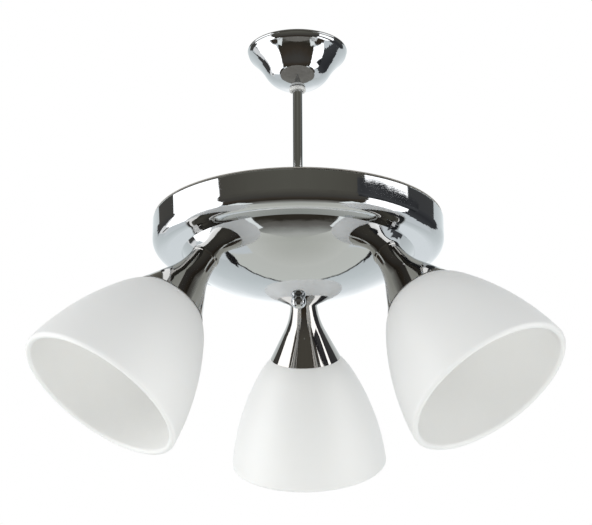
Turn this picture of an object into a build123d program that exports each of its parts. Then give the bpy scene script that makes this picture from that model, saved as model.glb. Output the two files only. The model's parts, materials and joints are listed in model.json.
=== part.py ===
from build123d import *
from math import acos, asin, cos, degrees, radians, sin, sqrt, tan
import os

# Three-light ceiling chandelier, in millimetres. The origin is on the ceiling, at the middle of
# the bracket, +Z points up and the whole lamp hangs below. The back lamp stands towards +Y and the
# two front lamps towards -Y. Heights are z values. On a lamp, a place is the distance from the
# dome's outer face along that lamp's own axis, towards the open end of the shade.

# Clearances and cuts
overrun = 1.0           # how far every cut runs past the face it opens
slide_gap = 0.3         # between pieces that move on each other
seat_gap = 0.1          # between a glass neck and what clamps it
thread_gap = 0.05       # between a threaded tube and the nut on it
face_gap = 0.05         # between the dome and what is shaped to lie on it

# Threaded tube, M10x1, shared by rod, centre tube and lamp nipples, with its hex nuts
tube_radius = 5.0
tube_bore = 4.0
nut_flats = 14.0
nut_height = 3.5
washer_radius = 8.6
washer_height = 1.0
washer_notch = 1.6
washer_notches = 8

# Ceiling bracket: a steel strap bent like a hat
strap_width = 20.0
strap_sheet = 1.5
strap_drop = 20.0           # from the ceiling to the top of the middle plate
strap_end_rounding = 5.0
fixing_slot_length = 11.0
fixing_slot_width = 5.0
slot_web_gap = 4.5          # from a web's inside to the slot beside it
slot_end_wall = 3.0         # from a slot to the strap's end
rod_proud = 1.5             # the rod's end, above the upper nut

# Earth screw in the strap
earth_screw_inset = 9.0     # from the strap's web
earth_shank_radius = 2.0
earth_head_radius = 4.0
earth_head_height = 2.6
earth_head_rounding = 0.8
earth_screw_drop = 7.0
earth_slot_width = 1.0
earth_slot_depth = 1.2

# Terminal blocks: two poles on the strap, three poles under the pan cover
strap_poles = 2
pan_poles = 3
pole_pitch = 8.5
block_depth = 16.0
block_height = 13.0
block_groove = 1.6          # width and depth of the grooves between the poles
block_gap = 0.6             # between the ceiling block and the strap's web
block_nut_gap = 1.4         # between the ceiling block and the nut on the rod
clamp_radius = 2.0
clamp_length = 4.0
clamp_sunk = 0.5            # a clamp screw's top, below the block's top

# Canopy: a spun cup that hides the bracket. Below its rolled lip the outline is a chain of
# tangent arcs: shoulder, waist and base, then a last arc that closes level on the axis.
canopy_gap = 5.3            # between the strap's ends and the cup
canopy_sheet = 1.0
canopy_lip_height = 2.2
canopy_lip_proud = 0.5
canopy_hole_gap = 0.5       # round the rod
shoulder_radius = 6.8
shoulder_turn = 47.6
waist_radius = 79.0
waist_turn = 17.8
base_radius = 29.0
base_turn = 41.0

# Grip ring that holds the canopy up on the rod
grip_radius = 8.5
grip_height = 4.0
grip_rounding = 1.3
grip_gap = 0.1

# Pan: one spun shell, with an upright wall, a ring-shaped underside and a dome inside the ring
cover_top = -188.0          # top face of the pan cover, which sets the hanging height
cover_sheet = 1.2
cover_inset = 0.8           # between the edges of cover and pan
cover_edge = 0.4
pan_radius = 145.0
pan_sheet = 1.2
pan_depth = 34.8            # from the pan's upper rim to its ring-shaped underside
pan_corner_radius = 14.0
pan_bend_radius = 2.0
pan_flange_width = 9.0      # turned inwards at the top, under the cover
pan_flat_width = 15.0       # of the ring-shaped underside, from the corner in to the crease
crown_radius = 190.0        # of the dome's middle
knuckle_radius = 67.0       # of the tighter arc round it
dome_edge_angle = 54.4      # slope of the dome where it meets the flat in the crease

# Hickey: the open frame between rod and centre tube, which lets the leads out
hickey_height = 38.0
hickey_end_height = 9.0
hickey_width = 24.0
hickey_leg_width = 10.0
hickey_window = 16.0
hickey_rounding = 5.0
hickey_boss_radius = 8.0
hickey_grip = 7.0           # how far rod and centre tube screw into it
hickey_gap = 0.3            # below the cover's lower nut

# Finial: ball-ended cap nut under the dome
finial_wall = 2.4           # round and below the centre tube
finial_seat_wall = 1.2      # round the tube, where the ball is cut flat against the dome

# Lamps: their places on the dome, and the cone
lamp_tilt = 34.6            # between a lamp's axis and straight down
back_azimuth = 90.0
front_turn = 118.0          # from the back lamp round to each front lamp
nipple_inside = 11.5        # how far the nipple stands into the pan
seat_ring_proud = 0.6       # round the cone's neck
seat_ring_height = 2.0
seat_ring_skirt = 3.0
seat_ring_edge = 0.4
cone_neck_radius = 13.7
cone_mouth_radius = 36.8
cone_mouth = 62.2           # place of the cone's open edge
cone_half_angle = 27.3
cone_bend_radius = 74.0
cone_sheet = 0.8
cone_end_wall = 1.2

# E27 lampholder: cap, body with flange and threaded skirt, and the insert with the contacts
socket_radius = 13.3        # inside of the brass shell, for an E27 lamp cap
socket_sheet = 0.6
socket_rise = 0.5           # the shell's inner end, above the centre contact
socket_sunk = 2.0           # the shell's outer end, inside the insert's end
insert_wall = 3.2
insert_floor = 12.0
insert_gap = 0.2
insert_sunk = 2.0           # the insert's end, inside the skirt's end
insert_rise = 3.0           # the insert's inner end, inside the cap
holder_wall = 2.2
cap_boss_radius = 8.0
cap_boss_height = 6.0
cap_floor = 2.0
cap_height = 24.0
cap_rim_height = 4.0
body_height = 14.7          # from the cap to the glass
flange_overlap = 2.5        # of the flange over the hole in the glass
flange_height = 3.0
thread_rise = 0.2           # of the skirt's thread over the body
skirt_length = 22.3
skirt_edge = 0.8
contact_radius = 4.5
contact_height = 3.0

# Glass shade: a flat neck, a small shoulder arc and then two tangent arcs down to the rim
neck_sunk = 5.5             # the neck's outer face, inside the cone's mouth
neck_inset = 8.8            # from the cone's mouth in to the flat outer face's edge
neck_thickness = 3.6
neck_hole_gap = 1.3         # round the skirt
neck_inner_step = 0.4       # the inner face's edge, inside the outer one's
shade_radius = 82.7
shade_height = 125.5
rim_thickness = 6.5
outer_shoulder_radius = 3.0
outer_shoulder_turn = 38.0
outer_rim_heading = 83.4    # of the outer face at the rim, from straight outwards
outer_arc_share = 0.28      # tangent length of the upper arc, as a share of the lower arc's
inner_shoulder_radius = 2.0
inner_shoulder_turn = 48.7
inner_rim_heading = 88.0
inner_arc_share = 1.7

# Shade ring, which screws up the lampholder's skirt and clamps the glass
ring_gap = 0.6              # between the ring's edge and the shoulder of the glass
ring_height = 9.0
ring_flange_width = 3.0
ring_flange_height = 3.0
rib_radius = 1.2
ring_ribs = 12

# Leads
lead_radius = 2.0
lead_bend = 5.0             # in the ceiling canopy
lead_turn = 4.5             # beside the hickey
lead_sweep = 10.0           # in the pan
lead_side_run = 10.0        # out of the ceiling block
lead_rise = 7.0             # above the rod's top
lead_low_run = 11.5         # from the axis to the rising run in the pan
lead_low_drop = 20.0        # that run's foot, below the hickey's top
lead_axis_run = 40.0        # straight run up each lamp's axis, inside the pan
lead_entry = 7.5            # where the leads enter the pan's block, under the cover
# corners of the lamp leads in the pan: x and y as shares of the pan's radius, and how far each
# lies under the block's entry as a share of the dome's depth
back_lead_shares = [(0, 0.41, 0)]
front_lead_shares = [(0.0586, 0.33, 0), (0.21, 0.33, 0.045), (0.42, 0.07, 0.16)]

# Worked out from the sizes above: bracket, canopy and rod
strap_half_plate = nut_flats / 2 + block_nut_gap + strap_poles * pole_pitch + block_gap
fixing_slot_spacing = 2 * (strap_half_plate + slot_web_gap) + fixing_slot_length
strap_half_length = (fixing_slot_spacing + fixing_slot_length) / 2 + slot_end_wall
plate_top = -strap_drop
plate_bottom = plate_top - strap_sheet
rod_top = plate_top + nut_height + rod_proud
block_x = strap_half_plate - block_gap - strap_poles * pole_pitch / 2
earth_screw_x = earth_screw_inset - strap_half_plate
canopy_radius = strap_half_length + canopy_gap + canopy_sheet


def canopy_outline(inset):
    """The canopy's outline below the lip, moved in by inset, as four tangent arcs."""
    edge = (canopy_radius - inset, -canopy_lip_height)
    crown_turn = 90 - shoulder_turn + waist_turn - base_turn
    shoulder = JernArc(edge, (0, -1), shoulder_radius - inset, -shoulder_turn)
    waist = JernArc(shoulder @ 1, shoulder % 1, waist_radius + inset, waist_turn)
    base = JernArc(waist @ 1, waist % 1, base_radius - inset, -base_turn)
    crown = JernArc(base @ 1, base % 1, (base @ 1).X / sin(radians(crown_turn)), -crown_turn)
    return shoulder, waist, base, crown


canopy_hole_radius = tube_radius + canopy_hole_gap
canopy_crown = canopy_outline(0)[-1]
canopy_bottom = (canopy_crown @ 1).Y
hole_edge_rise = canopy_crown.radius - sqrt(canopy_crown.radius**2 - canopy_hole_radius**2)
grip_top = canopy_bottom + hole_edge_rise - grip_gap

# Pan: the dome's outer face is a crown arc and a tighter knuckle arc, tangent to each other,
# and the knuckle meets the flat in a sharp crease
pan_top = cover_top - cover_sheet
ring_z = pan_top - pan_depth
crease_radius = pan_radius - pan_corner_radius - pan_flat_width
edge_angle = radians(dome_edge_angle)
crown_angle = asin((crease_radius - knuckle_radius * sin(edge_angle)) / (crown_radius - knuckle_radius))
crown_depth = crown_radius * (1 - cos(crown_angle))
dome_depth = crown_depth + knuckle_radius * (cos(crown_angle) - cos(edge_angle))
dome_bottom = ring_z - dome_depth
crown_center = (0, dome_bottom + crown_radius)
knuckle_center = (
    (crown_radius - knuckle_radius) * sin(crown_angle),
    crown_center[1] - (crown_radius - knuckle_radius) * cos(crown_angle),
)

# Hickey, finial and leads
hickey_top = pan_top - nut_height - hickey_gap
hickey_bottom = hickey_top - hickey_height
finial_radius = tube_radius + finial_wall
finial_seat_radius = tube_radius + finial_seat_wall
finial_height = finial_radius + sqrt(finial_radius**2 - finial_seat_radius**2)
finial_bottom = dome_bottom - finial_height
connector_y = lead_low_run + lead_turn + lead_radius
entry_z = pan_top - lead_entry

# Radii and places of the lampholder, the glass neck and the shade ring
shell_radius = socket_radius + socket_sheet
insert_radius = shell_radius + insert_wall
holder_bore = insert_radius + insert_gap
holder_radius = holder_bore + holder_wall
skirt_radius = holder_radius + thread_rise
neck_hole_radius = skirt_radius + neck_hole_gap
flange_radius = neck_hole_radius + flange_overlap
neck_flat_radius = cone_mouth_radius - neck_inset
neck_inner_radius = neck_flat_radius - neck_inner_step
ring_radius = neck_inner_radius - ring_gap
ring_barrel_radius = ring_radius - ring_flange_width
neck_top = cone_mouth - neck_sunk
ring_place = neck_top + neck_thickness + seat_gap
skirt_end = neck_top + skirt_length
holder_top = neck_top - body_height
cap_top = holder_top - cap_height
insert_top = holder_top - insert_rise
insert_end = skirt_end - insert_sunk
shell_place = insert_top + insert_floor + contact_height + socket_rise
rim_place = neck_top + shade_height - rim_thickness / 2


def hollow_rise(reach, radius):
    """How far the pan's inner face rises over a flat piece that reaches so far from its middle."""
    inner_radius = radius - pan_sheet
    return inner_radius - sqrt(inner_radius**2 - reach**2) + face_gap


# The lamps stand on the crown or on the knuckle, wherever the dome's slope is their tilt
on_crown = radians(lamp_tilt) < crown_angle
seat_center = crown_center if on_crown else knuckle_center
seat_radius = crown_radius if on_crown else knuckle_radius


def seat_plane(azimuth):
    """Plane on the dome's outer face whose z axis is the lamp's axis, pointing out."""
    tilt = radians(lamp_tilt)
    turn = radians(azimuth)
    reach = seat_center[0] + seat_radius * sin(tilt)
    return Plane(
        origin=(reach * cos(turn), reach * sin(turn), seat_center[1] - seat_radius * cos(tilt)),
        x_dir=(cos(tilt) * cos(turn), cos(tilt) * sin(turn), sin(tilt)),
        z_dir=(sin(tilt) * cos(turn), sin(tilt) * sin(turn), -cos(tilt)),
    )


def outline_plane(seat):
    """Plane through a lamp's axis: sketch x is the radius and sketch y runs along the axis."""
    return Plane(origin=seat.origin, x_dir=seat.x_dir, z_dir=seat.x_dir.cross(seat.z_dir))


seats = {
    "left": seat_plane(back_azimuth + front_turn),
    "right": seat_plane(back_azimuth - front_turn),
    "back": seat_plane(back_azimuth),
}


def lamp_planes(place):
    """The same place along the axis of each lamp."""
    return [seat.offset(place) for seat in seats.values()]


def hex_nut():
    RegularPolygon(nut_flats / 2, 6, major_radius=False, rotation=30)
    Circle(tube_radius + thread_gap, mode=Mode.SUBTRACT)


def toothed_washer():
    Circle(washer_radius)
    Circle(tube_radius + thread_gap, mode=Mode.SUBTRACT)
    with PolarLocations(washer_radius, washer_notches):
        Rectangle(2 * washer_notch, washer_notch, mode=Mode.SUBTRACT)


def tube():
    Circle(tube_radius)
    Circle(tube_bore, mode=Mode.SUBTRACT)


os.makedirs("parts", exist_ok=True)

# Ceiling bracket
with BuildPart() as ceiling_bracket:
    with BuildSketch(Plane.XZ.offset(-strap_width / 2)):
        with BuildLine():
            Polyline(
                (strap_half_length, 0),
                (strap_half_plate, 0),
                (strap_half_plate, plate_top),
                (-strap_half_plate, plate_top),
                (-strap_half_plate, 0),
                (-strap_half_length, 0),
                (-strap_half_length, -strap_sheet),
                (-strap_half_plate - strap_sheet, -strap_sheet),
                (-strap_half_plate - strap_sheet, plate_bottom),
                (strap_half_plate + strap_sheet, plate_bottom),
                (strap_half_plate + strap_sheet, -strap_sheet),
                (strap_half_length, -strap_sheet),
                close=True,
            )
        make_face()
    extrude(amount=strap_width)
    upright_edges = ceiling_bracket.edges().filter_by(Axis.Z).group_by(Axis.X)
    fillet(upright_edges[0] + upright_edges[-1], radius=strap_end_rounding)
    with BuildSketch(Plane.XY.offset(overrun)):
        with GridLocations(fixing_slot_spacing, 0, 2, 1):
            SlotOverall(fixing_slot_length, fixing_slot_width)
    extrude(amount=-strap_sheet - 2 * overrun, mode=Mode.SUBTRACT)
    with BuildSketch(Plane.XY.offset(plate_top + overrun)):
        Circle(tube_radius + thread_gap)
        with Locations((earth_screw_x, 0)):
            Circle(earth_shank_radius + thread_gap)
    extrude(amount=-strap_sheet - 2 * overrun, mode=Mode.SUBTRACT)
ceiling_bracket.part.label = "ceiling_bracket"
export_step(ceiling_bracket.part, "parts/ceiling_bracket.step")

# Nuts and toothed washers on the rod, at the strap and at the pan cover
with BuildPart() as bracket_nuts:
    with BuildSketch(Plane.XY.offset(plate_top), Plane.XY.offset(plate_bottom - washer_height - nut_height)):
        hex_nut()
    extrude(amount=nut_height)
bracket_nuts.part.label = "bracket_nuts"
export_step(bracket_nuts.part, "parts/bracket_nuts.step")

with BuildPart() as bracket_washer:
    with BuildSketch(Plane.XY.offset(plate_bottom - washer_height)):
        toothed_washer()
    extrude(amount=washer_height)
bracket_washer.part.label = "bracket_washer"
export_step(bracket_washer.part, "parts/bracket_washer.step")

with BuildPart() as cover_nuts:
    with BuildSketch(Plane.XY.offset(cover_top + washer_height), Plane.XY.offset(pan_top - nut_height)):
        hex_nut()
    extrude(amount=nut_height)
cover_nuts.part.label = "cover_nuts"
export_step(cover_nuts.part, "parts/cover_nuts.step")

with BuildPart() as cover_washer:
    with BuildSketch(Plane.XY.offset(cover_top)):
        toothed_washer()
    extrude(amount=washer_height)
cover_washer.part.label = "cover_washer"
export_step(cover_washer.part, "parts/cover_washer.step")

# Earth screw, head up
with BuildPart() as earth_screw:
    with BuildSketch(Plane.XY.offset(plate_top)):
        with Locations((earth_screw_x, 0)):
            Circle(earth_head_radius)
    extrude(amount=earth_head_height)
    fillet(earth_screw.edges().group_by(Axis.Z)[-1], radius=earth_head_rounding)
    with BuildSketch(Plane.XY.offset(plate_top)):
        with Locations((earth_screw_x, 0)):
            Circle(earth_shank_radius)
    extrude(amount=-earth_screw_drop)
    with BuildSketch(Plane.XY.offset(plate_top + earth_head_height - earth_slot_depth)):
        with Locations((earth_screw_x, 0)):
            Rectangle(2 * earth_head_radius + overrun, earth_slot_width)
    extrude(amount=earth_slot_depth + overrun, mode=Mode.SUBTRACT)
earth_screw.part.label = "earth_screw"
export_step(earth_screw.part, "parts/earth_screw.step")


# Terminal blocks with their clamp screws: one stands on the strap, one hangs under the pan cover
# with its screws facing down. Their poles lie side by side along X.
strap_block_face = Plane(origin=(block_x, 0, plate_top))
pan_block_face = Plane(origin=(0, connector_y + block_depth / 2, pan_top), z_dir=(0, 0, -1))
for name, face, poles in (
    ("terminal", strap_block_face, strap_poles),
    ("connector", pan_block_face, pan_poles),
):
    with BuildPart() as block:
        with BuildSketch(face):
            Rectangle(poles * pole_pitch, block_depth)
        extrude(amount=block_height)
        with BuildSketch(face.offset(block_height - block_groove)):
            with GridLocations(pole_pitch, 0, poles - 1, 1):
                Rectangle(block_groove, block_depth + 2 * overrun)
        extrude(amount=block_groove + overrun, mode=Mode.SUBTRACT)
        with BuildSketch(face.offset(block_height - clamp_sunk - clamp_length)):
            with GridLocations(pole_pitch, block_depth / 2, poles, 2):
                Circle(clamp_radius + thread_gap)
        extrude(amount=clamp_length + clamp_sunk + overrun, mode=Mode.SUBTRACT)
    block.part.label = f"{name}_block"
    export_step(block.part, f"parts/{name}_block.step")

    with BuildPart() as clamps:
        with BuildSketch(face.offset(block_height - clamp_sunk - clamp_length)):
            with GridLocations(pole_pitch, block_depth / 2, poles, 2):
                Circle(clamp_radius)
        extrude(amount=clamp_length)
    clamps.part.label = f"{name}_screws"
    export_step(clamps.part, f"parts/{name}_screws.step")

# Canopy: revolved cup with a rolled lip
with BuildPart() as canopy:
    with BuildSketch(Plane.XZ):
        with BuildLine():
            outer_arcs = canopy_outline(0)
            inner_arcs = canopy_outline(canopy_sheet)
            ThreePointArc(
                (canopy_radius, 0),
                (canopy_radius + canopy_lip_proud, -canopy_lip_height / 2),
                outer_arcs[0] @ 0,
            )
            Polyline((canopy_radius, 0), (canopy_radius - canopy_sheet, 0), inner_arcs[0] @ 0)
            Line(outer_arcs[-1] @ 1, inner_arcs[-1] @ 1)
        make_face()
    revolve(axis=Axis.Z)
    with BuildSketch(Plane.XY.offset(canopy_bottom - overrun)):
        Circle(canopy_hole_radius)
    extrude(amount=canopy_sheet + 2 * overrun, mode=Mode.SUBTRACT)
canopy.part.label = "canopy"
export_step(canopy.part, "parts/canopy.step")

# Grip ring under the canopy
with BuildPart() as grip_ring:
    with BuildSketch(Plane.XY.offset(grip_top)):
        Circle(grip_radius)
    extrude(amount=-grip_height)
    fillet(grip_ring.edges(), radius=grip_rounding)
    with BuildSketch(Plane.XY.offset(grip_top + overrun)):
        Circle(tube_radius + slide_gap)
    extrude(amount=-grip_height - 2 * overrun, mode=Mode.SUBTRACT)
grip_ring.part.label = "grip_ring"
export_step(grip_ring.part, "parts/grip_ring.step")

# Down rod, and the centre tube that runs on to the finial
with BuildPart() as down_rod:
    with BuildSketch(Plane.XY.offset(rod_top)):
        tube()
    extrude(amount=hickey_top - hickey_grip - rod_top)
down_rod.part.label = "down_rod"
export_step(down_rod.part, "parts/down_rod.step")

with BuildPart() as centre_tube:
    with BuildSketch(Plane.XY.offset(hickey_bottom + hickey_grip)):
        tube()
    extrude(amount=finial_bottom + finial_wall - hickey_bottom - hickey_grip)
centre_tube.part.label = "centre_tube"
export_step(centre_tube.part, "parts/centre_tube.step")

# Pan cover, lying on the pan's inward flange
with BuildPart() as pan_cover:
    with BuildSketch(Plane.XY.offset(pan_top)):
        Circle(pan_radius - cover_inset)
        Circle(tube_radius + thread_gap, mode=Mode.SUBTRACT)
    extrude(amount=cover_sheet)
    fillet(pan_cover.edges().filter_by(GeomType.CIRCLE).sort_by(SortBy.RADIUS)[-2:], radius=cover_edge)
pan_cover.part.label = "pan_cover"
export_step(pan_cover.part, "parts/pan_cover.step")


def dome_arcs(grow, hole):
    """Crown and knuckle, moved out by grow, from a hole round the axis to the flat's face."""
    crown_start = degrees(asin(hole / (crown_radius + grow)))
    knuckle_start = degrees(crown_angle)
    knuckle_end = degrees(acos((knuckle_center[1] - ring_z + grow) / (knuckle_radius + grow)))
    crown = CenterArc(crown_center, crown_radius + grow, crown_start - 90, knuckle_start - crown_start)
    knuckle = CenterArc(
        knuckle_center, knuckle_radius + grow, knuckle_start - 90, knuckle_end - knuckle_start
    )
    return crown, knuckle


# Pan, with a hole for each lamp's nipple
with BuildPart() as pan:
    with BuildSketch(Plane.XZ):
        with BuildLine():
            corner_center = (pan_radius - pan_corner_radius, ring_z + pan_corner_radius)
            bend_center = (pan_radius - pan_bend_radius, pan_top - pan_bend_radius)
            outer_crown, outer_knuckle = dome_arcs(0, tube_radius + thread_gap)
            outer_corner = CenterArc(corner_center, pan_corner_radius, -90, 90)
            outer_bend = CenterArc(bend_center, pan_bend_radius, 0, 90)
            inner_crown, inner_knuckle = dome_arcs(-pan_sheet, tube_radius + thread_gap)
            inner_corner = CenterArc(corner_center, pan_corner_radius - pan_sheet, -90, 90)
            inner_bend = CenterArc(bend_center, pan_bend_radius - pan_sheet, 0, 90)
            Line(outer_knuckle @ 1, outer_corner @ 0)
            Line(outer_corner @ 1, outer_bend @ 0)
            Polyline(
                outer_bend @ 1,
                (pan_radius - pan_flange_width, pan_top),
                (pan_radius - pan_flange_width, pan_top - pan_sheet),
                inner_bend @ 1,
            )
            Line(inner_bend @ 0, inner_corner @ 1)
            Line(inner_corner @ 0, inner_knuckle @ 1)
            Line(inner_crown @ 0, outer_crown @ 0)
        make_face()
    revolve(axis=Axis.Z)
    with BuildSketch(*lamp_planes(overrun)):
        Circle(tube_radius + thread_gap)
    extrude(amount=-pan_sheet - 3 * overrun, mode=Mode.SUBTRACT)
pan.part.label = "pan"
export_step(pan.part, "parts/pan.step")

# Hickey: two threaded ends joined by an open frame
with BuildPart() as hickey:
    with BuildSketch(Plane.XZ.offset(-hickey_leg_width / 2)):
        with Locations((0, (hickey_top + hickey_bottom) / 2)):
            RectangleRounded(hickey_width, hickey_height, hickey_rounding)
            RectangleRounded(
                hickey_window,
                hickey_height - 2 * hickey_end_height,
                hickey_rounding,
                mode=Mode.SUBTRACT,
            )
    extrude(amount=hickey_leg_width)
    with BuildSketch(Plane.XY.offset(hickey_top - hickey_end_height), Plane.XY.offset(hickey_bottom)):
        Circle(hickey_boss_radius)
    extrude(amount=hickey_end_height)
    with BuildSketch(Plane.XY.offset(hickey_top + overrun)):
        Circle(tube_radius + thread_gap)
    extrude(amount=-hickey_height - 2 * overrun, mode=Mode.SUBTRACT)
hickey.part.label = "hickey"
export_step(hickey.part, "parts/hickey.step")

# Nut that holds the dome on the centre tube, clear of the crown's hollow
nut_lift = hollow_rise(nut_flats / sqrt(3), crown_radius)
with BuildPart() as centre_nut:
    with BuildSketch(Plane.XY.offset(dome_bottom + pan_sheet + nut_lift)):
        hex_nut()
    extrude(amount=nut_height)
centre_nut.part.label = "centre_nut"
export_step(centre_nut.part, "parts/centre_nut.step")

# Finial: a ball, cut flat against the dome
with BuildPart() as finial:
    with BuildSketch(Plane.XZ):
        with BuildLine():
            ball = ThreePointArc(
                (0, finial_bottom),
                (finial_radius, finial_bottom + finial_radius),
                (finial_seat_radius, dome_bottom),
            )
            Polyline(ball @ 1, (0, dome_bottom), ball @ 0)
        make_face()
    revolve(axis=Axis.Z)
    with BuildSketch(Plane.XY.offset(finial_bottom + finial_wall)):
        Circle(tube_radius + thread_gap)
    extrude(amount=finial_height, mode=Mode.SUBTRACT)
finial.part.label = "finial"
export_step(finial.part, "parts/finial.step")

# What fastens each lamp to the dome: nipple, toothed washer and nut in the pan, nut in the cone
dome_washer_top = -pan_sheet - hollow_rise(washer_radius, seat_radius)
with BuildPart() as lamp_nipples:
    with BuildSketch(*lamp_planes(-nipple_inside)):
        tube()
    extrude(amount=nipple_inside + cap_top + cap_boss_height + cap_floor)
lamp_nipples.part.label = "lamp_nipples"
export_step(lamp_nipples.part, "parts/lamp_nipples.step")

with BuildPart() as dome_washers:
    with BuildSketch(*lamp_planes(dome_washer_top)):
        toothed_washer()
    extrude(amount=-washer_height)
dome_washers.part.label = "dome_washers"
export_step(dome_washers.part, "parts/dome_washers.step")

with BuildPart() as dome_nuts:
    with BuildSketch(*lamp_planes(dome_washer_top - washer_height)):
        hex_nut()
    extrude(amount=-nut_height)
dome_nuts.part.label = "dome_nuts"
export_step(dome_nuts.part, "parts/dome_nuts.step")

with BuildPart() as cone_nuts:
    with BuildSketch(*lamp_planes(seat_ring_height + cone_end_wall)):
        hex_nut()
    extrude(amount=nut_height)
cone_nuts.part.label = "cone_nuts"
export_step(cone_nuts.part, "parts/cone_nuts.step")

# Centre contacts of the three lampholders
with BuildPart() as centre_contacts:
    with BuildSketch(*lamp_planes(insert_top + insert_floor)):
        Circle(contact_radius)
    extrude(amount=contact_height)
centre_contacts.part.label = "centre_contacts"
export_step(centre_contacts.part, "parts/centre_contacts.step")

# The space inside the dome's outer face, used to shape what lies on the dome
with BuildPart() as dome_form:
    with BuildSketch(Plane.XZ):
        with BuildLine():
            form_crown, form_knuckle = dome_arcs(face_gap, 0)
            Polyline(form_knuckle @ 1, (0, ring_z - face_gap), form_crown @ 0)
        make_face()
    revolve(axis=Axis.Z)

# Cone outline: a wide bend from the neck into a straight flare
flare = radians(cone_half_angle)
neck_corner = cone_mouth - (cone_mouth_radius - cone_neck_radius) / tan(flare)
bend_middle = (cone_neck_radius + cone_bend_radius, neck_corner - cone_bend_radius * tan(flare / 2))


def cone_bend(radius, place):
    """The bend's arc from a place near the neck to the straight flare."""
    turned = degrees(asin((place - bend_middle[1]) / radius))
    return CenterArc(bend_middle, radius, 180 - turned, turned - cone_half_angle)


def bell_outline(neck_edge, shoulder, turn, rim, rim_heading, arc_share):
    """Glass outline from the neck's edge: a shoulder arc, then two tangent arcs to the rim."""
    bend = JernArc(neck_edge, (1, 0), shoulder, turn)
    start = bend @ 1
    rim_dir = Vector(cos(radians(rim_heading)), sin(radians(rim_heading)))
    span = Vector(*rim) - start
    both = (bend % 1) * arc_share + rim_dir
    square = 2 * arc_share * ((bend % 1).dot(rim_dir) - 1)
    lower = (span.dot(both) - sqrt(span.dot(both) ** 2 - square * span.dot(span))) / square
    meeting = (start + (bend % 1) * arc_share * lower) * (1 / (1 + arc_share))
    joint = meeting + (Vector(*rim) - rim_dir * lower) * (arc_share / (1 + arc_share))
    upper_arc = TangentArc(start, joint, tangent=bend % 1)
    lower_arc = TangentArc(joint, rim, tangent=upper_arc % 1)
    return bend, upper_arc, lower_arc


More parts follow.
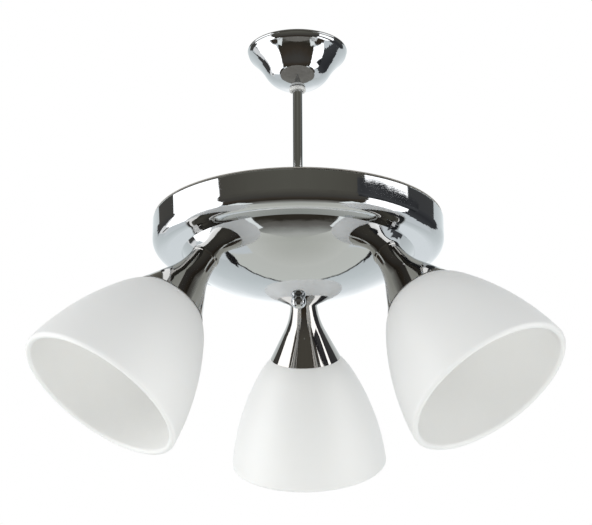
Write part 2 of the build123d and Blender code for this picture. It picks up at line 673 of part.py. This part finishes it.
for side, seat in seats.items():
    outlines = outline_plane(seat)
    axis = Axis(seat.origin, seat.z_dir)

    # Seat ring: its upper face follows the dome
    with BuildPart() as seat_ring:
        with BuildSketch(seat.offset(-seat_ring_skirt)):
            Circle(cone_neck_radius + seat_ring_proud)
            Circle(tube_radius + thread_gap, mode=Mode.SUBTRACT)
        extrude(amount=seat_ring_skirt + seat_ring_height)
        top_edges = seat_ring.edges().filter_by(GeomType.CIRCLE).sort_by(axis)[-2:]
        chamfer(top_edges.sort_by(SortBy.RADIUS)[-1], length=seat_ring_edge)
        add(dome_form.part, mode=Mode.SUBTRACT)
    seat_ring.part.label = f"seat_ring_{side}"
    export_step(seat_ring.part, f"parts/seat_ring_{side}.step")

    # Lamp cone
    with BuildPart() as lamp_cone:
        with BuildSketch(outlines):
            with BuildLine():
                outer_bend = cone_bend(cone_bend_radius, seat_ring_height)
                inner_bend = cone_bend(cone_bend_radius + cone_sheet, seat_ring_height + cone_end_wall)
                Polyline(
                    outer_bend @ 1,
                    (cone_mouth_radius, cone_mouth),
                    (cone_mouth_radius - cone_sheet / cos(flare), cone_mouth),
                    inner_bend @ 1,
                )
                Polyline(
                    inner_bend @ 0,
                    (tube_radius + thread_gap, seat_ring_height + cone_end_wall),
                    (tube_radius + thread_gap, seat_ring_height),
                    outer_bend @ 0,
                )
            make_face()
        revolve(axis=axis)
    lamp_cone.part.label = f"lamp_cone_{side}"
    export_step(lamp_cone.part, f"parts/lamp_cone_{side}.step")

    # Lampholder cap, screwed on the nipple
    with BuildPart() as holder_cap:
        with BuildSketch(outlines):
            with BuildLine():
                Polyline(
                    (tube_radius + thread_gap, cap_top),
                    (cap_boss_radius, cap_top),
                    (cap_boss_radius, cap_top + cap_boss_height),
                    (holder_radius, holder_top - cap_rim_height),
                    (holder_radius, holder_top),
                    (holder_bore, holder_top),
                    (holder_bore, insert_top - insert_gap),
                    (cap_boss_radius, cap_top + cap_boss_height + cap_floor),
                    (tube_radius + thread_gap, cap_top + cap_boss_height + cap_floor),
                    close=True,
                )
            make_face()
        revolve(axis=axis)
    holder_cap.part.label = f"holder_cap_{side}"
    export_step(holder_cap.part, f"parts/holder_cap_{side}.step")

    # Lampholder body: flange that the glass hangs from, and threaded skirt
    with BuildPart() as holder_body:
        with BuildSketch(outlines):
            with BuildLine():
                Polyline(
                    (holder_radius, holder_top),
                    (holder_radius, neck_top - seat_gap - flange_height),
                    (flange_radius, neck_top - seat_gap - flange_height),
                    (flange_radius, neck_top - seat_gap),
                    (skirt_radius, neck_top - seat_gap),
                    (skirt_radius, skirt_end - skirt_edge),
                    (skirt_radius - skirt_edge, skirt_end),
                    (holder_bore, skirt_end),
                    (holder_bore, holder_top),
                    close=True,
                )
            make_face()
        revolve(axis=axis)
    holder_body.part.label = f"holder_body_{side}"
    export_step(holder_body.part, f"parts/holder_body_{side}.step")

    # Insert that carries the contacts
    with BuildPart() as holder_insert:
        with BuildSketch(seat.offset(insert_top)):
            Circle(insert_radius)
        extrude(amount=insert_end - insert_top)
        with BuildSketch(seat.offset(insert_top + insert_floor)):
            Circle(shell_radius + thread_gap)
        extrude(amount=insert_end - insert_top, mode=Mode.SUBTRACT)
    holder_insert.part.label = f"holder_insert_{side}"
    export_step(holder_insert.part, f"parts/holder_insert_{side}.step")

    # Brass shell that takes the lamp's screw cap
    with BuildPart() as contact_shell:
        with BuildSketch(seat.offset(shell_place)):
            Circle(shell_radius)
            Circle(socket_radius, mode=Mode.SUBTRACT)
        extrude(amount=insert_end - socket_sunk - shell_place)
    contact_shell.part.label = f"contact_shell_{side}"
    export_step(contact_shell.part, f"parts/contact_shell_{side}.step")

    # Shade ring, with grip ribs on its barrel
    with BuildPart() as shade_ring:
        with BuildSketch(seat.offset(ring_place)):
            Circle(ring_radius)
        extrude(amount=ring_flange_height)
        with BuildSketch(seat.offset(ring_place + ring_flange_height)):
            Circle(ring_barrel_radius)
            with PolarLocations(ring_barrel_radius, ring_ribs):
                Circle(rib_radius)
        extrude(amount=ring_height - ring_flange_height)
        with BuildSketch(seat.offset(ring_place - overrun)):
            Circle(skirt_radius + slide_gap)
        extrude(amount=ring_height + 2 * overrun, mode=Mode.SUBTRACT)
    shade_ring.part.label = f"shade_ring_{side}"
    export_step(shade_ring.part, f"parts/shade_ring_{side}.step")

    # Glass shade: flat neck, bell, and a thick rounded rim
    with BuildPart() as glass_shade:
        with BuildSketch(outlines):
            with BuildLine():
                outer_bell = bell_outline(
                    (neck_flat_radius, neck_top),
                    outer_shoulder_radius,
                    outer_shoulder_turn,
                    (shade_radius, rim_place),
                    outer_rim_heading,
                    outer_arc_share,
                )
                inner_bell = bell_outline(
                    (neck_inner_radius, neck_top + neck_thickness),
                    inner_shoulder_radius,
                    inner_shoulder_turn,
                    (shade_radius - rim_thickness, rim_place),
                    inner_rim_heading,
                    inner_arc_share,
                )
                ThreePointArc(
                    outer_bell[-1] @ 1,
                    (shade_radius - rim_thickness / 2, neck_top + shade_height),
                    inner_bell[-1] @ 1,
                )
                Polyline(
                    outer_bell[0] @ 0,
                    (neck_hole_radius, neck_top),
                    (neck_hole_radius, neck_top + neck_thickness),
                    inner_bell[0] @ 0,
                )
            make_face()
        revolve(axis=axis)
    glass_shade.part.label = f"glass_shade_{side}"
    export_step(glass_shade.part, f"parts/glass_shade_{side}.step")

# Supply lead: out of the ceiling block, down the rod, through the hickey, up to the pan's block
with BuildPart() as supply_lead:
    with BuildLine() as supply_route:
        block_mouth_z = plate_top + block_height / 2
        foot_z = hickey_top - lead_low_drop
        FilletPolyline(
            (block_x, block_depth / 2, block_mouth_z),
            (block_x, block_depth / 2 + lead_side_run, block_mouth_z),
            (0, block_depth / 2 + lead_side_run, rod_top + lead_rise),
            (0, 0, rod_top + lead_rise),
            (0, 0, foot_z),
            (0, lead_low_run, foot_z),
            (0, lead_low_run, entry_z),
            (0, connector_y, entry_z),
            radius=[lead_bend, lead_bend, lead_bend, lead_turn, lead_turn, lead_turn],
        )
    with BuildSketch(Plane(origin=supply_route.line @ 0, z_dir=supply_route.line % 0)):
        Circle(lead_radius)
    sweep(path=supply_route.line)
supply_lead.part.label = "supply_lead"
export_step(supply_lead.part, "parts/supply_lead.step")

# Lamp leads: from the pan's block to the nipples and down into the lampholder caps
lamp_leads = {
    "left": (-1, front_lead_shares),
    "right": (1, front_lead_shares),
    "back": (0, back_lead_shares),
}
for side, (sign, corner_shares) in lamp_leads.items():
    seat = seats[side]
    corners = [
        (sign * x * pan_radius, y * pan_radius, entry_z - drop * dome_depth) for x, y, drop in corner_shares
    ]
    with BuildPart() as lamp_lead:
        with BuildLine() as lead_route:
            FilletPolyline(
                (sign * pole_pitch, connector_y + block_depth, entry_z),
                *corners,
                seat.from_local_coords((0, 0, -lead_axis_run)),
                seat.from_local_coords((0, 0, insert_top)),
                radius=lead_sweep,
            )
        with BuildSketch(Plane(origin=lead_route.line @ 0, z_dir=lead_route.line % 0)):
            Circle(lead_radius)
        sweep(path=lead_route.line)
    lamp_lead.part.label = f"lamp_lead_{side}"
    export_step(lamp_lead.part, f"parts/lamp_lead_{side}.step")
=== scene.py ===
"""Looks, stage and camera for the three-light chandelier. Metres, in the frame of the CAD.

The lamp hangs under the origin with its back lamp towards +Y, and the camera looks up at it from
the -Y side. Its chrome mirrors the studio, so the studio is built as well: two softboxes, the dark
room between them, a pale backdrop and the paper on the floor. Each is a card at its own direction
from the lamp, and only reflections see it.
"""
import json
import math

import bpy
from mathutils import Matrix, Vector, noise


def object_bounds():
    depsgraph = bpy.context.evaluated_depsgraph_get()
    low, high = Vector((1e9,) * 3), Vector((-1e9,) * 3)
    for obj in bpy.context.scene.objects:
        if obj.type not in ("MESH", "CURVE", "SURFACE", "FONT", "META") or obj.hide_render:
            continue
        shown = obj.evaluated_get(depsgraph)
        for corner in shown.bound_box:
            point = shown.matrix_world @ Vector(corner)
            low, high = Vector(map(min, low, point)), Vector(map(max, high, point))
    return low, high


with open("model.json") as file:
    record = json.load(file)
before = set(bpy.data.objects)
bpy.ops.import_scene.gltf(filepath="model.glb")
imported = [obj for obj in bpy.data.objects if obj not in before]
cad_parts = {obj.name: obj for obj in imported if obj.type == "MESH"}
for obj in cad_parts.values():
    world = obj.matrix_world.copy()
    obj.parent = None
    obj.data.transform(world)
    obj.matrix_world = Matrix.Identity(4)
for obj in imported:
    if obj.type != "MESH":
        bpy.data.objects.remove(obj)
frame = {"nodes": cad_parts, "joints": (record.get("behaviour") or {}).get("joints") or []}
cad_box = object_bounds()
nodes = frame["nodes"]
SIDES = ("left", "right", "back")


def srgb(text):
    """A colour written as six hex digits, as the linear RGBA that the shader takes."""
    parts = [int(text[i:i + 2], 16) / 255 for i in (0, 2, 4)]
    return tuple(c / 12.92 if c <= 0.04045 else ((c + 0.055) / 1.055) ** 2.4 for c in parts) + (1.0,)


class Shader:
    """A material whose nodes are added by short calls; Python values and sockets both plug in."""

    def __init__(self, name, **inputs):
        self.material = bpy.data.materials.new(name)
        self.material.use_nodes = True
        self.tree = self.material.node_tree
        self.bsdf = self.tree.nodes["Principled BSDF"]
        self.place = self.node("ShaderNodeTexCoord").outputs["Object"]
        for key, value in inputs.items():
            self.set(key.replace("_", " "), value)

    def node(self, kind, **settings):
        made = self.tree.nodes.new(kind)
        for key, value in settings.items():
            setattr(made, key, value)
        return made

    def plug(self, socket, value):
        """Links a socket to the input, or sets the input to a plain value."""
        if isinstance(value, bpy.types.NodeSocket):
            self.tree.links.new(value, socket)
        else:
            socket.default_value = value

    def set(self, name, value):
        """Sets or links one input of the Principled shader."""
        self.plug(self.bsdf.inputs[name], value)

    def math(self, operation, *values):
        made = self.node("ShaderNodeMath", operation=operation)
        for socket, value in zip(made.inputs, values):
            self.plug(socket, value)
        return made.outputs[0]

    def vector(self, operation, *values):
        made = self.node("ShaderNodeVectorMath", operation=operation)
        for socket, value in zip(made.inputs, values):
            self.plug(socket, value)
        return made.outputs["Value" if operation in ("DOT_PRODUCT", "LENGTH") else "Vector"]

    def noise(self, scale, detail=2.0, roughness=0.5, place=None):
        """Noise over the object's own place, in waves a metre."""
        made = self.node("ShaderNodeTexNoise")
        self.plug(made.inputs["Vector"], self.place if place is None else place)
        made.inputs["Scale"].default_value = scale
        made.inputs["Detail"].default_value = detail
        made.inputs["Roughness"].default_value = roughness
        return made.outputs["Fac"]

    def spread(self, value, low, high, start=0.3, end=0.7):
        """A noise value from start to end, spread over low to high."""
        made = self.node("ShaderNodeMapRange")
        for socket, number in zip(made.inputs[1:5], (start, end, low, high)):
            socket.default_value = number
        self.plug(made.inputs["Value"], value)
        return made.outputs["Result"]

    def blend(self, share, first, second):
        """A colour from first to second."""
        made = self.node("ShaderNodeMix", data_type="RGBA")
        self.plug(made.inputs["Factor"], share)
        self.plug(made.inputs["A"], first)
        self.plug(made.inputs["B"], second)
        return made.outputs["Result"]

    def bump(self, height, distance, strength=1.0, under=None):
        """A normal that the height tilts, by distance in metres, over another bump if one is given."""
        made = self.node("ShaderNodeBump")
        made.inputs["Strength"].default_value = strength
        made.inputs["Distance"].default_value = distance
        self.plug(made.inputs["Height"], height)
        if under is not None:
            self.plug(made.inputs["Normal"], under)
        return made.outputs["Normal"]

    def around(self, origin, axis, stretch):
        """Place as turn, radius and height about an axis, each scaled by stretch in turn."""
        axis = Vector(axis).normalized()
        first = axis.orthogonal().normalized()
        second = axis.cross(first)
        arm = self.vector("SUBTRACT", self.place, tuple(origin))
        along, right, ahead = (
            self.vector("DOT_PRODUCT", arm, tuple(v)) for v in (axis, first, second)
        )
        radius = self.math("SQRT", self.math("ADD", self.math("MULTIPLY", right, right),
                                             self.math("MULTIPLY", ahead, ahead)))
        made = self.node("ShaderNodeCombineXYZ")
        turn = self.math("ARCTAN2", ahead, right)
        for socket, value, scale in zip(made.inputs, (turn, radius, along), stretch):
            self.plug(socket, self.math("MULTIPLY", value, scale))
        return made.outputs[0]


def dress(material, *names):
    """Puts the material on CAD nodes."""
    for name in names:
        mesh = nodes[name].data
        mesh.materials.clear()
        mesh.materials.append(material)


# Chrome, as light as the real plating; the small steep cones get a little darker tone of the same
# chrome, painted shade that darkens what they mirror
CHROME_TONE = "c9cbcd"
CONE_PAINTED_SHADE_TONE = "bab8b5"
RING_STRETCH = (9.0, 900.0, 900.0)      # of the spinning rings, in turn, radius and height
SWELL_WAVES = 28.0                      # a metre
GRAIN_WAVES = 2600.0


def chrome(name, tone, origin, axis, ring_depth, swell_depth):
    """Mirror chrome over spun or turned steel: fine rings round the axis, soft waves, some grain."""
    paint = Shader(name, Metallic=1.0, Base_Color=srgb(tone))
    rings = paint.noise(1.0, 3.0, 0.6, paint.around(origin, axis, RING_STRETCH))
    swell = paint.noise(SWELL_WAVES, 1.0, 0.4)
    grain = paint.noise(GRAIN_WAVES, 1.0, 0.5)
    paint.set("Roughness", paint.spread(grain, 0.02, 0.06))
    paint.set("Normal", paint.bump(rings, ring_depth, under=paint.bump(swell, swell_depth)))
    return paint.material


origin = (0.0, 0.0, 0.0)
up = (0.0, 0.0, 1.0)
dress(chrome("chrome_pan", CHROME_TONE, origin, up, 0.000012, 0.00012), "pan", "finial")
dress(chrome("chrome_canopy", CHROME_TONE, origin, up, 0.00001, 0.0001), "canopy", "down_rod")
lamp_axes = {j["child"]: j for j in frame["joints"] if j["name"].startswith("ring_turn")}
for side in SIDES:
    joint = lamp_axes[f"ring_{side}"]
    # Each cone's chrome takes the darker cone tone: painted shade on the same plating as the pan
    dress(chrome(f"chrome_{side}", CONE_PAINTED_SHADE_TONE, joint["pos_m"], joint["axis"], 0.00001, 0.00008),
          f"lamp_cone_{side}", f"seat_ring_{side}")

# Satin opal glass, which lets light some millimetres in
opal = Shader("opal_glass", Base_Color=srgb("f1f1ef"))
opal.set("Roughness", opal.spread(opal.noise(420.0), 0.42, 0.56))
opal.set("Normal", opal.bump(opal.noise(1500.0, 3.0), 0.00003, 0.5,
                             opal.bump(opal.noise(18.0, 1.0), 0.0006)))
opal.set("Subsurface Weight", 0.35)
opal.set("Subsurface Radius", (1.0, 0.95, 0.9))
opal.set("Subsurface Scale", 0.004)
opal.set("IOR", 1.5)
dress(opal.material, *(f"glass_shade_{side}" for side in SIDES))

# Dull zinc plating and bare brass, each a little uneven in tone and gloss
zinc = Shader("zinc_steel", Metallic=1.0)
zinc.set("Base Color", zinc.blend(zinc.spread(zinc.noise(240.0, 4.0), 0.0, 1.0),
                                  srgb("c3c6c9"), srgb("a2a7ab")))
zinc.set("Roughness", zinc.spread(zinc.noise(500.0, 3.0), 0.28, 0.46))
zinc.set("Normal", zinc.bump(zinc.noise(900.0), 0.00002))
dress(zinc.material, "ceiling_bracket", "bracket_nuts", "bracket_washer", "terminal_screws",
      "connector_screws", "cover_nuts", "cover_washer", "hickey", "centre_tube",
      "centre_nut", "lamp_nipples", "dome_washers", "dome_nuts", "cone_nuts")

brass = Shader("brass", Metallic=1.0)
brass.set("Base Color", brass.blend(brass.spread(brass.noise(120.0, 4.0), 0.0, 1.0),
                                    srgb("d7b56c"), srgb("b9924a")))
brass.set("Roughness", brass.spread(brass.noise(700.0, 3.0), 0.22, 0.4))
brass.set("Normal", brass.bump(brass.noise(1200.0), 0.00002))
dress(brass.material, "earth_screw", "centre_contacts",
      *(f"contact_shell_{side}" for side in SIDES))

# Grey lacquer on the pan's cover, and the pale plastic of the canopy's grip ring
lacquer = Shader("cover_paint")
lacquer.set("Base Color", lacquer.blend(lacquer.spread(lacquer.noise(30.0, 4.0), 0.0, 1.0),
                                        srgb("8f8a82"), srgb("9d9991")))
lacquer.set("Roughness", lacquer.spread(lacquer.noise(300.0), 0.38, 0.5))
lacquer.set("Normal", lacquer.bump(lacquer.noise(1400.0, 2.0), 0.00004))
dress(lacquer.material, "pan_cover")

grip = Shader("ring_plastic", Base_Color=srgb("eeeeea"))
grip.set("Roughness", grip.spread(grip.noise(300.0), 0.22, 0.34))
grip.set("Subsurface Weight", 0.5)
grip.set("Subsurface Radius", (1.0, 1.0, 0.95))
grip.set("Subsurface Scale", 0.004)
dress(grip.material, "grip_ring")

# Matt plastics: light and dark tone, least roughness, and what wears them
plastics = {
    "holder_plastic": ("e8e6df", "dedcd4", 0.4, [f"{kind}_{side}" for side in SIDES for kind in
                       ("holder_cap", "holder_body", "holder_insert", "shade_ring")]),
    "block_plastic": ("d8d7cc", "cbcabf", 0.45, ["terminal_block", "connector_block"]),
    "lead_sheath": ("e2e2e0", "d6d6d3", 0.35,
                    ["supply_lead"] + [f"lamp_lead_{side}" for side in SIDES]),
}
for name, (light, shade, rough, wearers) in plastics.items():
    plastic = Shader(name)
    plastic.set("Base Color", plastic.blend(plastic.spread(plastic.noise(90.0, 3.0), 0.0, 1.0),
                                            srgb(light), srgb(shade)))
    plastic.set("Roughness", plastic.spread(plastic.noise(600.0), rough, rough + 0.15))
    plastic.set("Normal", plastic.bump(plastic.noise(1800.0, 2.0), 0.00003))
    dress(plastic.material, *wearers)


# Stage. Cards are given by the direction they stand in: azimuth and elevation in degrees, seen from
# the lamp's middle, with azimuth -90 towards the camera.
studio_centre = Vector((0.0, 0.0, -0.22))
EVEN_STRENGTH = 1.5         # of cards that chrome then shows about as they are written
SOFTBOX_STRENGTH = 2.2      # of the softboxes, which burn out in chrome
EDGE_WAVES = 0.45           # of a ragged side edge, a degree
END_WAVES = 0.3             # of a ragged top or bottom edge
TOOTH_WAVES = 1.1           # of a notched west edge


def glow(name, shades, strength, cloud, pole):
    """Emission for what only reflections see. Its shades are (angle, colour) from low to high, where
    the angle is how far a direction leans towards the pole, in degrees."""
    light = Shader(name)
    light.tree.nodes.remove(light.bsdf)
    emission = light.node("ShaderNodeEmission")
    emission.inputs["Strength"].default_value = strength
    if len(shades) == 1:
        emission.inputs["Color"].default_value = srgb(shades[0][1])
    else:
        aim = light.vector("NORMALIZE", light.place)
        lean = light.math("ARCSINE", light.vector("DOT_PRODUCT", aim, pole))
        if cloud:
            clouds = light.spread(light.noise(5.0, 4.0, 0.6, aim), -cloud, cloud)
            lean = light.math("ADD", lean, clouds)
        ramp = light.node("ShaderNodeValToRGB")
        light.plug(ramp.inputs["Fac"], light.spread(lean, 0.0, 1.0, -math.pi / 2, math.pi / 2))
        elements = ramp.color_ramp.elements
        while len(elements) < len(shades):
            elements.new(1.0)
        for element, (angle, colour) in zip(elements, shades):
            element.position = (angle + 90) / 180
            element.color = srgb(colour)
        light.plug(emission.inputs["Color"], ramp.outputs["Color"])
    light.plug(light.tree.nodes["Material Output"].inputs["Surface"], emission.outputs[0])
    return light.material


def towards(azimuth, elevation, distance):
    """The place in that direction from the lamp's middle."""
    a, e = math.radians(azimuth), math.radians(elevation)
    return distance * Vector((math.cos(e) * math.cos(a), math.cos(e) * math.sin(a), math.sin(e)))


def card(name, rows, shades, strength=EVEN_STRENGTH, distance=0.9, ragged=0.0, teeth=0.0, cloud=0.0,
         pole=(0.0, 0.0, 1.0)):
    """A card bent round the lamp. Its rows are (elevation, west, east) azimuths from low to high,
    straight between them. Ragged is how far its edges stray and teeth how far its west edge is
    notched, both in degrees."""
    points, faces = [], []
    low, high = rows[0][0], rows[-1][0]
    step = 0.25 if teeth else 0.5 if high - low < 4 else 1.0
    count = max(2, round((high - low) / step))
    columns = max(2, round(max(row[2] - row[1] for row in rows)))
    for row in range(count + 1):
        elevation = low + (high - low) * row / count
        below, above = next(pair for pair in zip(rows, rows[1:]) if elevation <= pair[1][0] + 1e-6)
        share = (elevation - below[0]) / (above[0] - below[0])
        west, east = (below[k] + (above[k] - below[k]) * share for k in (1, 2))
        west += ragged * noise.noise(Vector((elevation * EDGE_WAVES, low, west * 0.02)))
        west -= teeth * max(0.0, noise.noise(Vector((elevation * TOOTH_WAVES, low, 7.3))))
        east += ragged * noise.noise(Vector((elevation * EDGE_WAVES, high, east * 0.02)))
        for column in range(columns + 1):
            azimuth = west + (east - west) * column / columns
            stray = 0.0
            if ragged and row in (0, count):
                stray = ragged * noise.noise(Vector((azimuth * END_WAVES, low, distance)))
            points.append(towards(azimuth, elevation + stray, distance))
    wide = columns + 1
    for row in range(count):
        for column in range(columns):
            corner = row * wide + column
            faces.append((corner, corner + 1, corner + 1 + wide, corner + wide))
    mesh = bpy.data.meshes.new(name)
    mesh.from_pydata(points, [], faces)
    mesh.materials.append(glow(name, shades, strength, cloud, pole))
    made = bpy.data.objects.new(name, mesh)
    bpy.context.scene.collection.objects.link(made)
    made.location = studio_centre
    made.visible_camera = False
    made.visible_diffuse = False
    made.visible_shadow = False
    made.visible_volume_scatter = False


def box(low, high, west, east):
    """The rows of a card that is as wide below as above."""
    return [(low, west, east), (high, west, east)]


# Round the lamp: ceiling, backdrop, the room in front, the pale sides and the paper below. Room and
# paper meet in front along a straight edge, so both shade off with the angle from that edge.
front_edge = (0.0, math.sqrt(0.5), -math.sqrt(0.5))
card("sky", box(26, 89.9, -270, 90), [(26, "5d5c56"), (40, "6b6a64"), (60, "55544e"), (90, "504f49")],
     distance=1.08)
card("sky_behind", box(37, 72, 73, 117), [(0, "b8b8b0")], distance=1.07)
card("backdrop", box(-46, 40, 30, 144),
     [(30, "b5babb"), (50, "c0c6c7"), (68, "d2d7d9"), (80, "f0f2f3")], distance=1.05, cloud=0.05,
     pole=(0.0, 1.0, 0.0))
card("room_front", box(-54, 40, -150, -32),
     [(-85, "66655e"), (-70, "55544d"), (-45, "4b4943"), (-15, "3d3b38"), (-3, "37312a"), (9, "2c2923"),
      (15, "504e49")], distance=1.0, cloud=0.06, pole=front_edge)
card("side_left", box(-66, -20, -226, -138), [(0, "c1c6c8")], distance=1.02)
card("side_right", box(-66, -20, -42, 46), [(0, "c1c6c8")], distance=1.02)
card("paper", box(-89.9, -60, -270, 90), [(-90, "a9aba3"), (-74, "b3b4ad"), (-60, "c0c1bb")],
     distance=1.0, cloud=0.02)
card("paper_front", box(-88, -53.5, -150, -32),
     [(9, "2c2923"), (12.5, "55534e"), (20, "65635f"), (27, "898a85"), (34, "a3a49f"),
      (43, "a9aba3")], distance=0.98, cloud=0.03, pole=front_edge)
card("paper_far", box(-61, -44.7, 40, 140), [(-62, "bdbeb8"), (-43, "bfc1bb")], distance=1.0)

# The dark slot between paper and backdrop, which the dome shows as a thin uneven line
card("slot", box(-45.3, -44.1, 46, 140), [(0, "151413")], distance=0.88, ragged=0.9)
card("slot_left", [(-47, 134, 143), (-44, 130, 141), (-42, 127, 138)], [(0, "1b1a1a")],
     distance=0.87, ragged=1.5)
card("slot_right", [(-46, 39, 45), (-44, 41, 52), (-42.5, 44, 54)], [(0, "1b1a1a")],
     distance=0.87, ragged=1.5)

# Left: the large softbox, the dark gap beyond it and the dark floor under it
card("gap_left", [(-3, -218, -200), (8, -217, -184), (16, -218, -184), (26, -222, -189),
                  (40, -222, -189)], [(-3, "39393a"), (20, "42413e"), (40, "42413e")],
     distance=0.93, ragged=4.0)
card("gap_left_tail", [(-28, -187, -184), (-20, -203, -197), (-12, -215, -208)], [(0, "3d3d3b")],
     distance=0.92, ragged=3.0)
card("softbox_left", [(-37, -199, -156), (-30, -201, -147), (-20, -205, -143), (-10, -203, -144),
                      (-4, -194, -145), (4, -187, -145), (12, -188, -145), (19, -193, -146),
                      (27, -194, -146)], [(0, "ffffff")], SOFTBOX_STRENGTH, ragged=2.0)
card("floor_left", [(-64, -194, -160), (-58, -204, -152), (-50, -211, -150), (-42, -205, -151),
                    (-37, -192, -160)], [(-63, "423b33"), (-40, "322c26")], distance=0.87, ragged=3.0)
card("patch_left", [(-59, -146, -138), (-52, -150, -137), (-41, -152, -138)], [(0, "dfe3e2")],
     distance=0.95)

# Right: the softbox, the dark gap beyond it, the dark floor under it and a flag close to the pan
card("gap_right", [(-26, -1, 24), (-18, -2, 31), (-8, -3, 36), (2, -4, 39), (18, -3, 38),
                   (40, -4, 38)], [(-24, "3c3d3f"), (0, "2d2e30"), (16, "37383a"), (40, "4a4a46")],
     distance=0.93, ragged=4.0)
card("softbox_right", [(-37, -33, -4), (-20, -36, -1), (-5, -37, -2), (10, -38, 0), (27, -38, 1)],
     [(0, "ffffff")], SOFTBOX_STRENGTH, ragged=2.0)
card("floor_right", [(-64, -20, 10), (-58, -28, 21), (-50, -30, 28), (-42, -29, 21), (-37, -20, 10)],
     [(-63, "423b33"), (-40, "322c26")], distance=0.87, ragged=3.0)
card("patch_right", [(-59, -42, -34), (-52, -43, -30), (-41, -42, -28)], [(0, "dfe3e2")],
     distance=0.95)
card("flag_right", [(0, -49, -2), (18.2, -49, 4)], [(0, "232426"), (10, "3f4042"), (20, "2d2e30")],
     distance=0.42, ragged=0.3, teeth=5.0, cloud=0.08)

# The world is white for what the camera and the glass see, and an even soft light for the rest
world = bpy.data.worlds.new("studio")
bpy.context.scene.world = world
world.use_nodes = True
sky = world.node_tree
sky.nodes.clear()
path = sky.nodes.new("ShaderNodeLightPath")
seen = path.outputs["Is Camera Ray"]
for ray in ("Is Glossy Ray", "Is Transmission Ray"):
    either = sky.nodes.new("ShaderNodeMath")
    either.operation = "MAXIMUM"
    sky.links.new(seen, either.inputs[0])
    sky.links.new(path.outputs[ray], either.inputs[1])
    seen = either.outputs[0]
ambient = sky.nodes.new("ShaderNodeBackground")
ambient.inputs["Color"].default_value = srgb("f4f6f8")
ambient.inputs["Strength"].default_value = 0.74
white = sky.nodes.new("ShaderNodeBackground")
white.inputs["Color"].default_value = (1.0, 1.0, 1.0, 1.0)
mix = sky.nodes.new("ShaderNodeMixShader")
sky.links.new(seen, mix.inputs["Fac"])
sky.links.new(ambient.outputs[0], mix.inputs[1])
sky.links.new(white.outputs[0], mix.inputs[2])
out = sky.nodes.new("ShaderNodeOutputWorld")
sky.links.new(mix.outputs[0], out.inputs["Surface"])

# Floor: pale and wide, a room's height under the hanging lamp
floor_z = cad_box[0][2] - 2.0
floor_half = 40.0
corners = ((-1, -1), (1, -1), (1, 1), (-1, 1))
floor_mesh = bpy.data.meshes.new("floor")
floor_mesh.from_pydata([(x * floor_half, y * floor_half, floor_z) for x, y in corners],
                       [], [(0, 1, 2, 3)])
floor_paint = Shader("floor", Base_Color=srgb("f2f2f0"), Roughness=0.9)
floor_mesh.materials.append(floor_paint.material)
floor = bpy.data.objects.new("floor", floor_mesh)
bpy.context.scene.collection.objects.link(floor)
floor.visible_glossy = False


def lamp(name, azimuth, elevation, distance, size, power):
    """A round white area light aimed at the lamp's middle, which chrome doesn't show."""
    data = bpy.data.lights.new(name, "AREA")
    data.shape = "DISK"
    data.size = size
    data.energy = power
    made = bpy.data.objects.new(name, data)
    bpy.context.scene.collection.objects.link(made)
    made.location = studio_centre + towards(azimuth, elevation, distance)
    made.rotation_euler = (studio_centre - made.location).to_track_quat("-Z", "Y").to_euler()
    made.visible_glossy = False


lamp("light_left", -172, 10, 2.0, 1.4, 14.5)
lamp("light_right", -18, 0, 2.0, 1.4, 6.5)
lamp("light_below", -90, -50, 2.0, 1.6, 9.5)

# Camera, as fitted to the photograph's outlines
camera_place = Vector((0.08375, -1.58075, -0.77639))
look_azimuth, look_elevation, roll = (math.radians(v) for v in (93.021, 18.592, 0.294))
look = Vector((math.cos(look_azimuth) * math.cos(look_elevation),
               math.sin(look_azimuth) * math.cos(look_elevation), math.sin(look_elevation)))
camera_data = bpy.data.cameras.new("camera")
camera_data.lens = 102.453
camera_data.shift_x = -0.00468
camera_data.shift_y = 0.01958
camera = bpy.data.objects.new("camera", camera_data)
bpy.context.scene.collection.objects.link(camera)
right = look.cross(Vector((0, 0, 1))).normalized()
upward = right.cross(look)
right, upward = (right * math.cos(roll) - upward * math.sin(roll),
                 right * math.sin(roll) + upward * math.cos(roll))
turned = Matrix((right, upward, -look)).transposed().to_4x4()
turned.translation = camera_place
camera.matrix_world = turned
bpy.context.scene.camera = camera

bpy.context.scene.view_settings.view_transform = "Standard"
